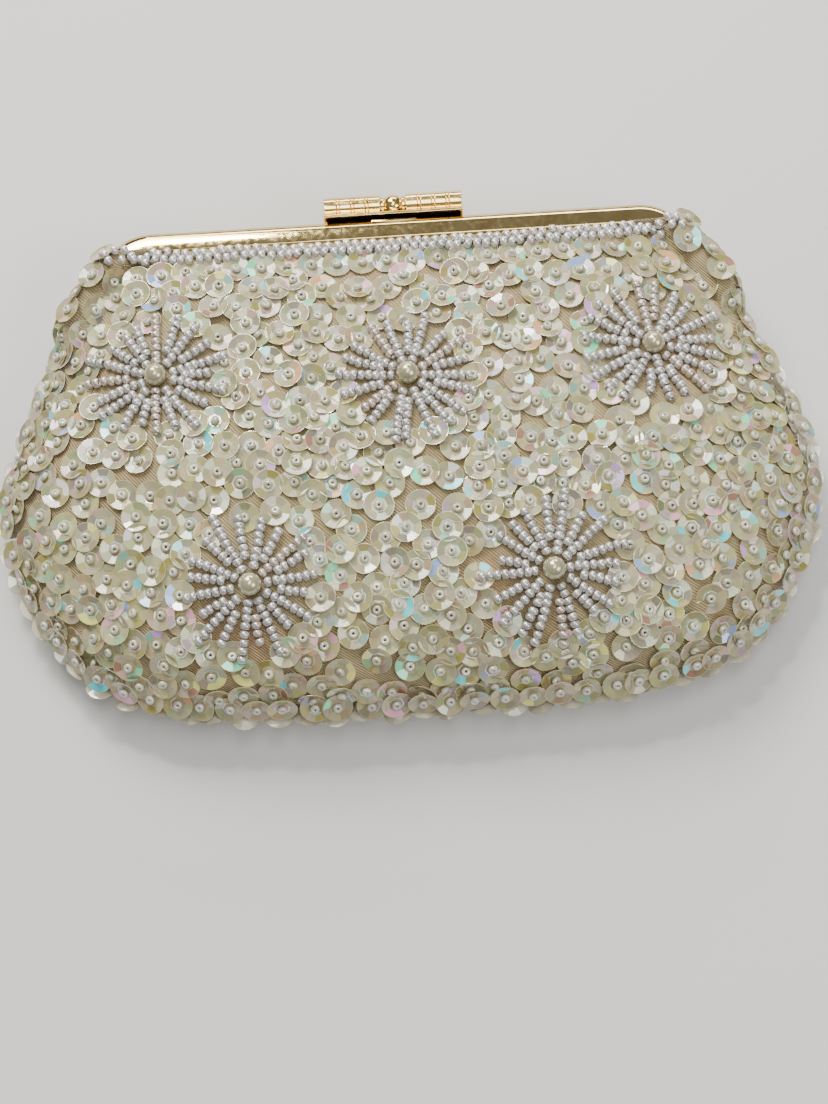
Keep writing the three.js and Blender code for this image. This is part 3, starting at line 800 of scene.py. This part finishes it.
def sequin_places(skin, side):
    """A row of sequins under the bead border, then as many as fit, clear of the flowers."""
    places, normals = skin.scatter(SEQUIN_TRIES)
    across = np.arange(-FIRST_ROW_HALF, FIRST_ROW_HALF + 0.1, FIRST_ROW_PITCH)
    row = [skin.under(x, FIRST_ROW_Y + random.normal(0, 0.25), side) for x in across]
    places = np.concatenate([[place for place, _ in row], places])
    normals = np.concatenate([[normal for _, normal in row], normals])
    kept, count = np.zeros((len(places), 3)), 0
    chosen = []
    for place, normal in zip(places, normals):
        under_border = place[1] > FIRST_ROW_Y + 0.7 and abs(place[0]) < BORDER_HALF
        in_flower = any(
            math.hypot(place[0] - x, place[1] - y) < FLOWER_RADIUS - 1.2 for x, y in FLOWERS)
        on_seam = abs(place[2] - SEAM_Z) < 3.0 and place[1] < 24
        if under_border or in_flower or on_seam:
            continue
        if (((kept[:count] - place) ** 2).sum(axis=1) < SEQUIN_SPACING ** 2).any():
            continue
        kept[count] = place
        count += 1
        chosen.append((place, normal))
    return chosen


def sew_one(sequins, beads, centre, tilt, wobble, height, tone, spread):
    """A sequin, and the bead that holds it, at a height above its floor and tipped by its wobble."""
    sequins.add(SEQUIN, centre, frame_of(tilt, unit(random.normal(size=3))), sequin_tints())
    bead_tilt = tilt + random.normal(0, wobble, 3) if wobble else tilt
    axes = frame_of(bead_tilt, unit(random.normal(size=3)))
    beads.add(SMALL_SEED, centre + unit(tilt) * height, axes, plain_tints(SMALL_SEED, tone, spread))


def sew_sequins(sequins, beads, places, loose):
    """Later sequins lie over the edges of the ones sewn before them; loose is how far they tip."""
    lean_share, lean_most = 0.11, 0.24
    lift_alone, lift_each, lift_most = 0.25, 0.1, 0.7
    spots = np.array([place for place, _ in places])
    for number, (place, normal) in enumerate(places):
        away = spots[:number] - place
        distance = np.linalg.norm(away, axis=1, keepdims=True)
        over = distance[:, 0] < 2 * SEQUIN_RADIUS - 0.2
        crossing = away[over] / distance[over] * (2 * SEQUIN_RADIUS - distance[over])
        lean = crossing.sum(axis=0) * lean_share
        lean *= min(1.0, lean_most / max(np.linalg.norm(lean), 1e-6))
        tilt = normal - lean * loose + random.normal(0, 0.07 * loose, 3)
        lift = min(lift_alone + lift_each * over.sum(), lift_most) * (0.5 + 0.5 * loose)
        sew_one(sequins, beads, place + normal * lift, tilt, 0.3, 0.48, HOLDING_BEAD_TONE, 0.05)


def sew_seam(sequins, beads, side):
    """A row of sequins round the cloth's edge: on their sides in front, jutting past it behind."""
    pitch, top = (FRONT_SEAM_PITCH, FRONT_SEAM_TOP) if side > 0 else (BACK_SEAM_PITCH, BACK_SEAM_TOP)
    angle = np.linspace(-math.pi / 2, 1.5 * math.pi, 1440, endpoint=False)
    ray = np.column_stack([np.cos(angle), np.sin(angle)])
    line = CENTRE + ray * cloth_radius(angle, 1.1, True)[:, None]
    along = np.roll(line, -1, axis=0) - line
    travelled = np.cumsum(np.linalg.norm(along, axis=1))
    count = round(travelled[-1] / pitch)
    for stop in np.linspace(0.0, travelled[-1], count, endpoint=False):
        i = int(np.searchsorted(travelled, stop + random.uniform(-0.9, 0.9)) % len(line))
        if line[i, 1] > top:
            continue
        outward = unit(np.array([along[i, 1], -along[i, 0], 0.0]))
        if side > 0:
            tilt, step = outward + np.array([0, 0, 0.8]), -0.3
            z = SEAM_Z + 2.1 + 1.2 * smoothstep(line[i, 1], 24, 32)
        else:
            tilt, step = outward * 0.5 + np.array([0, 0, -0.9]), random.uniform(-0.6, 0.4)
            z = SEAM_Z - 2.2
        tilt = tilt + random.normal(0, 0.16, 3)
        centre = np.array([*line[i], z + random.uniform(-0.5, 0.5)]) + outward * step
        sew_one(sequins, beads, centre, tilt, 0.0, 0.5, SEAM_BEAD_TONE, 0.04)


def sew_flower(seeds, pearls, skin, x, y, side):
    """A pearl with spokes of seed beads, each on its own thread; the back's are half pearls."""
    place, normal = skin.under(x, y, side)
    tall, depth = (PEARL_RADIUS - 0.1, 1.0) if side > 0 else (0.1, 0.5)
    sunk = 0.92 if side > 0 else 0.55
    axes = frame_of(normal, np.array([1.0, 0, 0])) * np.array([1, 1, depth])
    pearls.add(PEARL, place + normal * tall, axes, plain_tints(PEARL, PEARL_TONE, 0.01))
    turn = random.uniform(0, TAU)
    for spoke in range(FLOWER_SPOKES):
        tone = SEED_TONE if random.random() < GREY_SPOKES else PINK_SEED_TONE
        angle = turn + TAU * (spoke + random.uniform(-0.13, 0.13)) / FLOWER_SPOKES
        bend = random.normal(0, 0.004)
        start, longer = (LONG_SPOKE_START, 0.8) if spoke % 2 else (SHORT_SPOKE_START, 0)
        radius = start + random.uniform(-0.2, 0.5)
        end = FLOWER_RADIUS - 1.2 + random.uniform(-1.6, 1.6) + longer
        while radius < end:
            heading = angle + bend * (radius - start)
            spot = skin.under(x + radius * math.cos(heading), y + radius * math.sin(heading), side)
            radius += BEAD_PITCH
            if spot is None or spot[0][1] > COVER_TOP_Y - BELOW_BORDER:
                continue
            point, up = spot
            along = np.array([math.cos(heading), math.sin(heading), 0.0])
            along = unit(along - up * (along @ up) + random.normal(0, 0.09, 3))
            axes = frame_of(along, up) * (1 + random.uniform(-0.05, 0.05))
            centre = point + up * BEAD_RADIUS * sunk + random.normal(0, 0.06, 3)
            seeds.add(SEED, centre, axes, plain_tints(SEED, tone, 0.03))


def sew_border(seeds, skin, side):
    """Two staggered rows of seed beads along the edge of the frame, out over its corners."""
    for row, below in enumerate(BORDER_ROWS):
        y = COVER_TOP_Y - below
        for x in np.arange(-BORDER_HALF + BORDER_PITCH * row / 2, BORDER_HALF, BORDER_PITCH):
            raised = 1.2 * smoothstep(abs(x), 40, 54)
            spot = skin.under(x + random.normal(0, 0.12), y + raised + random.normal(0, 0.14), side)
            if spot is None:
                continue
            point, up = spot
            along = unit(np.array([1.0, 0.25 * (-1) ** row, 0]) + random.normal(0, 0.2, 3))
            tints = plain_tints(SEED, BORDER_TONE, 0.04)
            seeds.add(SEED, point + up * 0.95, frame_of(along, up), tints)


def beadwork(prefix, skin, side, loose):
    """All the beads of one side, as four pieces."""
    sequins, beads, seeds, pearls = Beads(), Beads(), Beads(), Beads()
    sew_sequins(sequins, beads, sequin_places(skin, side), loose)
    sew_seam(sequins, beads, side)
    for x, y in FLOWERS:
        sew_flower(seeds, pearls, skin, x, y, side)
    sew_border(seeds, skin, side)
    return {
        "sequins": sequins.build(f"{prefix}_sequins", SEQUIN_FILM, "beadwork", 0),
        "sequin_beads": beads.build(f"{prefix}_sequin_beads", CENTRE_BEAD, "beadwork", 70),
        "seed_beads": seeds.build(f"{prefix}_seed_beads", SEED_PEARL, "beadwork", 70),
        "pearls": pearls.build(f"{prefix}_flower_pearls", CREAM_PEARL, "pearl", 70),
    }


# ---- soft pieces ----


def front_side():
    cloth, points, faces = cloth_panel(
        "front_satin", front_height, FRONT_CLOTH_DEPTH, SATIN_THICKNESS, FACE_SATIN, "beadwork",
        swell=FRONT_SWELL, cover=True)
    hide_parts("front_panel", "front_collar")
    made = beadwork("front", Skin(points, faces), 1, 1.0)
    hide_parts(*PEARL_NODES)
    for some in (cloth, made["sequins"], made["sequin_beads"], made["seed_beads"]):
        across_hinge(some)
    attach(made["pearls"], "bag")


def back_side():
    cloth, points, faces = cloth_panel(
        "back_satin", back_height, BACK_CLOTH_DEPTH, SATIN_THICKNESS, FACE_SATIN, "beadwork",
        swell=BACK_SWELL, cover=True)
    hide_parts("back_panel")
    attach(cloth, "bag")
    for some in beadwork("back", Skin(points, faces), -1, 0.35).values():
        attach(some, "bag")


def inside():
    front_stiff, *_ = cloth_panel(
        "front_buckram", front_height, BUCKRAM_DEPTH, BUCKRAM_THICKNESS, BUCKRAM, "buckram")
    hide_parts("front_interlining", "collar_interlining")
    across_hinge(front_stiff)
    front_cloth, *_ = cloth_panel(
        "front_lining_satin", front_height, LINING_DEPTH, LINING_THICKNESS, LINING_SATIN, "satin")
    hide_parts("front_lining", "collar_lining")
    across_hinge(front_cloth)
    back_cloth, *_ = cloth_panel(
        "back_lining_satin", back_height, LINING_DEPTH, LINING_THICKNESS, LINING_SATIN, "satin")
    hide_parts("back_lining")
    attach(back_cloth, "bag")
    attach(pocket(), "bag")


def pocket():
    """Open patch pocket on the back lining, puffed out most in the middle of its upper edge."""
    low, high = (np.array(corner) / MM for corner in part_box("inner_pocket"))
    columns, rows = 40, 24
    points = []
    for row in range(rows + 1):
        v = row / rows
        for column in range(columns + 1):
            u = column / columns
            x = low[0] + (high[0] - low[0]) * u
            y = low[1] + (high[1] - low[1]) * v
            puff = 1.1 * math.sin(math.pi * u) ** 0.6 * v ** 0.7 * (1 + 0.25 * math.sin(9 * u + 4 * v))
            points.append((x, y, low[2] + 0.1 + puff))
    faces = [
        (r * (columns + 1) + c, r * (columns + 1) + c + 1, (r + 1) * (columns + 1) + c + 1,
         (r + 1) * (columns + 1) + c)
        for r in range(rows) for c in range(columns)
    ]
    made = piece("pocket_satin", points, faces, LINING_SATIN, "satin", 60)
    thicken(made, SATIN_THICKNESS, 1.0)
    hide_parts("inner_pocket")
    return made


# ---- frame ----


def along_frame(section, side, start):
    rings = np.array([
        [(*(point + out * across), SEAM_Z + side * forward) for across, forward in section]
        for point, out in frame_path(start)
    ])
    return sweep(rings)


def channel_section():
    """Folded sheet: rounded outside, open towards the bag, with a small rolled lip in front."""
    half, low, high = FRAME_HEIGHT / 2, FRAME_GAP, FRAME_GAP + FRAME_DEPTH
    wall = FRAME_WALL
    corners = [
        (-half, low), (half, low), (half, high), (-half, high), (-half, high - wall),
        (half - wall, high - wall), (half - wall, low + wall), (-half, low + wall),
    ]
    radii = [0.15, 0.4, FRAME_ROUND, 0.33, 0.33, 1.2, 0.3, 0.3]
    return rounded_polygon(corners, radii, 8)


def ear(x, side):
    half = 0.5
    disc = lathe_x(
        [(x - half, 1.2), (x - half, EAR_RADIUS - 0.2), (x - half + 0.2, EAR_RADIUS),
         (x + half - 0.2, EAR_RADIUS), (x + half, EAR_RADIUS - 0.2), (x + half, 1.2)],
        HINGE[1], SEAM_Z, closed=True)
    y0, y1 = HINGE[1] + 1.6, HINGE[1] + LEG_START + 1.3
    z0, z1 = sorted((SEAM_Z + side * FRAME_GAP, SEAM_Z + side * (EAR_RADIUS - 0.3)))
    strap = prism_x([(y0, z0), (y1, z0), (y1, z1), (y0, z1)], x - half, x + half)
    return joined([disc, strap])


def frame_half(name, node, side, ear_x, body):
    channel = along_frame(channel_section(), side, LEG_START)
    shape = joined([channel, ear(ear_x, side), ear(-ear_x, side)])
    made = piece(name, *shape, FRAME_GOLD, "frame_gold", 35)
    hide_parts(node)
    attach(made, body)


def rivets():
    inner, outer = FRONT_EAR_X - 0.8, REAR_EAR_X + 0.8
    dome = [(0.6 * math.sin(a), 1.8 * math.cos(a)) for a in np.linspace(0.12, math.pi / 2 - 0.05, 8)]
    profile = [(inner - x, r) for x, r in reversed(dome)] + [(inner, 1.8), (inner, 0.9)]
    profile += [(outer, 0.9), (outer, 1.8)] + [(outer + x, r) for x, r in dome]
    for side, node in ((1, "hinge_rivet_right"), (-1, "hinge_rivet_left")):
        points, faces = lathe_x([(side * x, r) for x, r in profile], HINGE[1], SEAM_Z)
        made = piece(f"{node}_domed", points, faces, FRAME_GOLD, "frame_gold", 35)
        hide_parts(node)
        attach(made, "bag")


def frame_metal():
    frame_half("front_frame_polished", "front_frame", 1, FRONT_EAR_X, "front")
    frame_half("rear_frame_polished", "rear_frame", -1, REAR_EAR_X, "bag")
    rivets()


# ---- clasp ----


def clasp_lever():
    low, thick = MOUTH_Y + FRAME_HEIGHT + 0.3, 0.6
    front = SEAM_Z + FRAME_DEPTH + 0.35
    pin_y, pin_z = 48.5, SEAM_Z - 5.9
    outline = rounded_polygon(
        [(low, pin_z + 1.2), (low, front - 0.3), (low - 0.12, front + 0.4),
         (low + thick - 0.1, front + 0.4), (low + thick, front - 0.3), (low + thick, pin_z + 1.2)],
        [0, 0.4, 0.12, 0.2, 0.4, 0])
    tongue = prism_x([(low, pin_z + 0.9), (low, SEAM_Z - 3.5), (low + thick, SEAM_Z - 3.5),
                      (low + thick, pin_z + 0.9)], -4, 4)
    plate = outline.copy()
    plate[:, 1] = np.maximum(plate[:, 1], SEAM_Z - 3.9)
    knuckle = lathe_x(
        [(-4, 0.9), (-4, 1.45), (-3.85, 1.6), (3.85, 1.6), (4, 1.45), (4, 0.9)],
        pin_y, pin_z, closed=True)
    shape = joined([prism_x(plate, -CLASP_HALF, CLASP_HALF), tongue, knuckle])
    made = piece("clasp_lever_plate", *shape, CLASP_GOLD, "clasp_gold", 35)
    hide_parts("clasp_lever")
    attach(made, "clasp")


def barrel_profile():
    """Ribbed tube from x0 outwards, with a small collar towards the ball and fine paired grooves."""
    x0, bands, bore = 2.5, 4, ROD_BORE
    length = CLASP_HALF - x0
    profile = [(x0 - 0.7, bore), (x0 - 0.7, 1.5), (x0 - 0.55, 1.75), (x0 - 0.1, 1.75), (x0, 1.6)]
    profile += [(x0, BAR_RADIUS - 0.45), (x0 + 0.25, BAR_RADIUS - 0.08)]
    for band in range(bands):
        start, end = x0 + length * band / bands, x0 + length * (band + 1) / bands
        profile += [(start + 0.42, BAR_RADIUS - 0.08), (end - 0.5, BAR_RADIUS - 0.08)]
        if band < bands - 1:
            profile += [(end - 0.4, BAR_RADIUS - 0.32), (end - 0.25, BAR_RADIUS + 0.02),
                        (end + 0.15, BAR_RADIUS + 0.02), (end + 0.3, BAR_RADIUS - 0.32)]
    rolled_end = [(CLASP_HALF - 0.2, BAR_RADIUS - 0.06), (CLASP_HALF, BAR_RADIUS - 0.35)]
    return profile + rolled_end + [(CLASP_HALF, bore)]


def clasp_bar():
    for side, node in ((1, "clasp_barrel_right"), (-1, "clasp_barrel_left")):
        profile = [(side * x, radius) for x, radius in barrel_profile()]
        shape = lathe_x(profile, BAR_Y, BAR_Z, 64, True)
        made = piece(f"{node}_ribbed", *shape, CLASP_GOLD, "clasp_gold", 30)
        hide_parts(node)
        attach(made, "clasp")
    half, radius = 2.3, 2.15
    open_at = math.asin(ROD_BORE / radius)
    turn = np.linspace(math.pi - open_at, open_at, 28)
    shape = lathe_x([(half * math.cos(a), radius * math.sin(a)) for a in turn], BAR_Y, BAR_Z, 48, True)
    ball = piece("clasp_ball_polished", *shape, CLASP_GOLD, "clasp_gold", 50)
    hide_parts("clasp_ball")
    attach(ball, "clasp")


def clasp_catch():
    """Low ridge on the frame's front, under the lever's edge."""
    y, z = MOUTH_Y + FRAME_HEIGHT - 1.25, SEAM_Z + FRAME_GAP + FRAME_DEPTH - 0.5
    corners = [(y, z - 0.6), (y, z + 0.55), (y + 0.6, z + 0.45), (y + 0.7, z - 0.6)]
    shape = prism_x(rounded_polygon(corners, [0, 0.2, 0.2, 0]), -4.6, 4.6, 0.2)
    catch = piece("clasp_catch_ridge", *shape, FRAME_GOLD, "clasp_gold", 35)
    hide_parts("clasp_catch")
    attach(catch, "front")


def carried_nodes():
    """CAD nodes that stay as they are get their procedural finish."""
    finishes = {
        "clasp_rod": CLASP_GOLD, "clasp_pin": CLASP_GOLD, "clasp_bracket": CLASP_GOLD,
        "front_channel_cord": PAPER, "rear_channel_cord": PAPER, "back_interlining": BUCKRAM,
    }
    for node, material in finishes.items():
        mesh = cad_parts[node].data
        mesh.materials.clear()
        mesh.materials.append(material)


# ---- stage ----


def floor():
    paint = Paint("pale_floor")
    paint.feed("Base Color", paint.ramp(paint.noise(6.0), (0.66, 0.66, 0.67), (0.7, 0.7, 0.71)))
    paint.set(Roughness=0.75)
    mesh = bpy.data.meshes.new("floor")
    half = 30.0
    corners = [(-half, -half, 0), (half, -half, 0), (half, half, 0), (-half, half, 0)]
    mesh.from_pydata(corners, [], [(0, 1, 2, 3)])
    mesh.materials.append(paint.material)
    made = bpy.data.objects.new("floor", mesh)
    bpy.context.scene.collection.objects.link(made)
    made.location.z = -0.0002


def area_light(name, place, size, watts, colour=(1, 1, 1)):
    light = bpy.data.lights.new(name, "AREA")
    light.shape = "RECTANGLE"
    light.size, light.size_y = size
    light.energy = watts
    light.color = colour
    made = bpy.data.objects.new(name, light)
    bpy.context.scene.collection.objects.link(made)
    made.location = place
    made.rotation_euler = (-Vector(place)).to_track_quat("-Z", "Y").to_euler()


def lighting():
    area_light("key", (-0.3, 0.6, 0.62), (0.42, 0.34), 8.4, (1.0, 0.965, 0.85))
    area_light("fill", (0.55, -0.35, 0.6), (0.4, 0.4), 3.1, (1.0, 0.98, 0.92))
    area_light("back", (0.1, 0.8, 0.35), (0.6, 0.2), 3.8)
    area_light("overhead", (0.05, -0.02, 0.8), (0.5, 0.24), 2.5, (1.0, 0.98, 0.94))
    area_light("sparkle", (-0.15, 0.45, 0.75), (0.12, 0.08), 2.8, (1.0, 0.98, 0.92))
    world = bpy.data.worlds.new("studio")
    world.use_nodes = True
    nodes, links = world.node_tree.nodes, world.node_tree.links
    height = nodes.new("ShaderNodeSeparateXYZ")
    links.new(nodes.new("ShaderNodeTexCoord").outputs["Generated"], height.inputs[0])
    sky = nodes.new("ShaderNodeValToRGB")
    sky.color_ramp.elements[0].color = (0.42, 0.43, 0.45, 1)
    sky.color_ramp.elements[1].color = (0.95, 0.96, 0.97, 1)
    sky.color_ramp.elements[1].position = 0.8
    links.new(height.outputs["Z"], sky.inputs["Fac"])
    links.new(sky.outputs["Color"], nodes["Background"].inputs["Color"])
    nodes["Background"].inputs["Strength"].default_value = 0.28
    bpy.context.scene.world = world


def camera():
    """Seen from 380 mm away, tipped 15 degrees from straight above, with a slight roll."""
    tip, roll, distance = math.radians(15), math.radians(3.5), 0.38
    target = Vector((0, -0.0237, 0.015))
    back = Vector((0, -math.sin(tip), math.cos(tip)))
    side = Vector((1, 0, 0))
    up = back.cross(side)
    right = side * math.cos(roll) - up * math.sin(roll)
    upward = side * math.sin(roll) + up * math.cos(roll)
    data = bpy.data.cameras.new("camera")
    data.lens = 63.2
    data.sensor_width = 36
    data.clip_start = 0.01
    made = bpy.data.objects.new("camera", data)
    bpy.context.scene.collection.objects.link(made)
    turn = Matrix((right, upward, back)).transposed().to_4x4()
    made.matrix_world = Matrix.Translation(target + back * distance) @ turn
    bpy.context.scene.camera = made


camera()
floor()
lighting()
front_side()
back_side()
inside()
frame_metal()
clasp_lever()
clasp_bar()
clasp_catch()
carried_nodes()
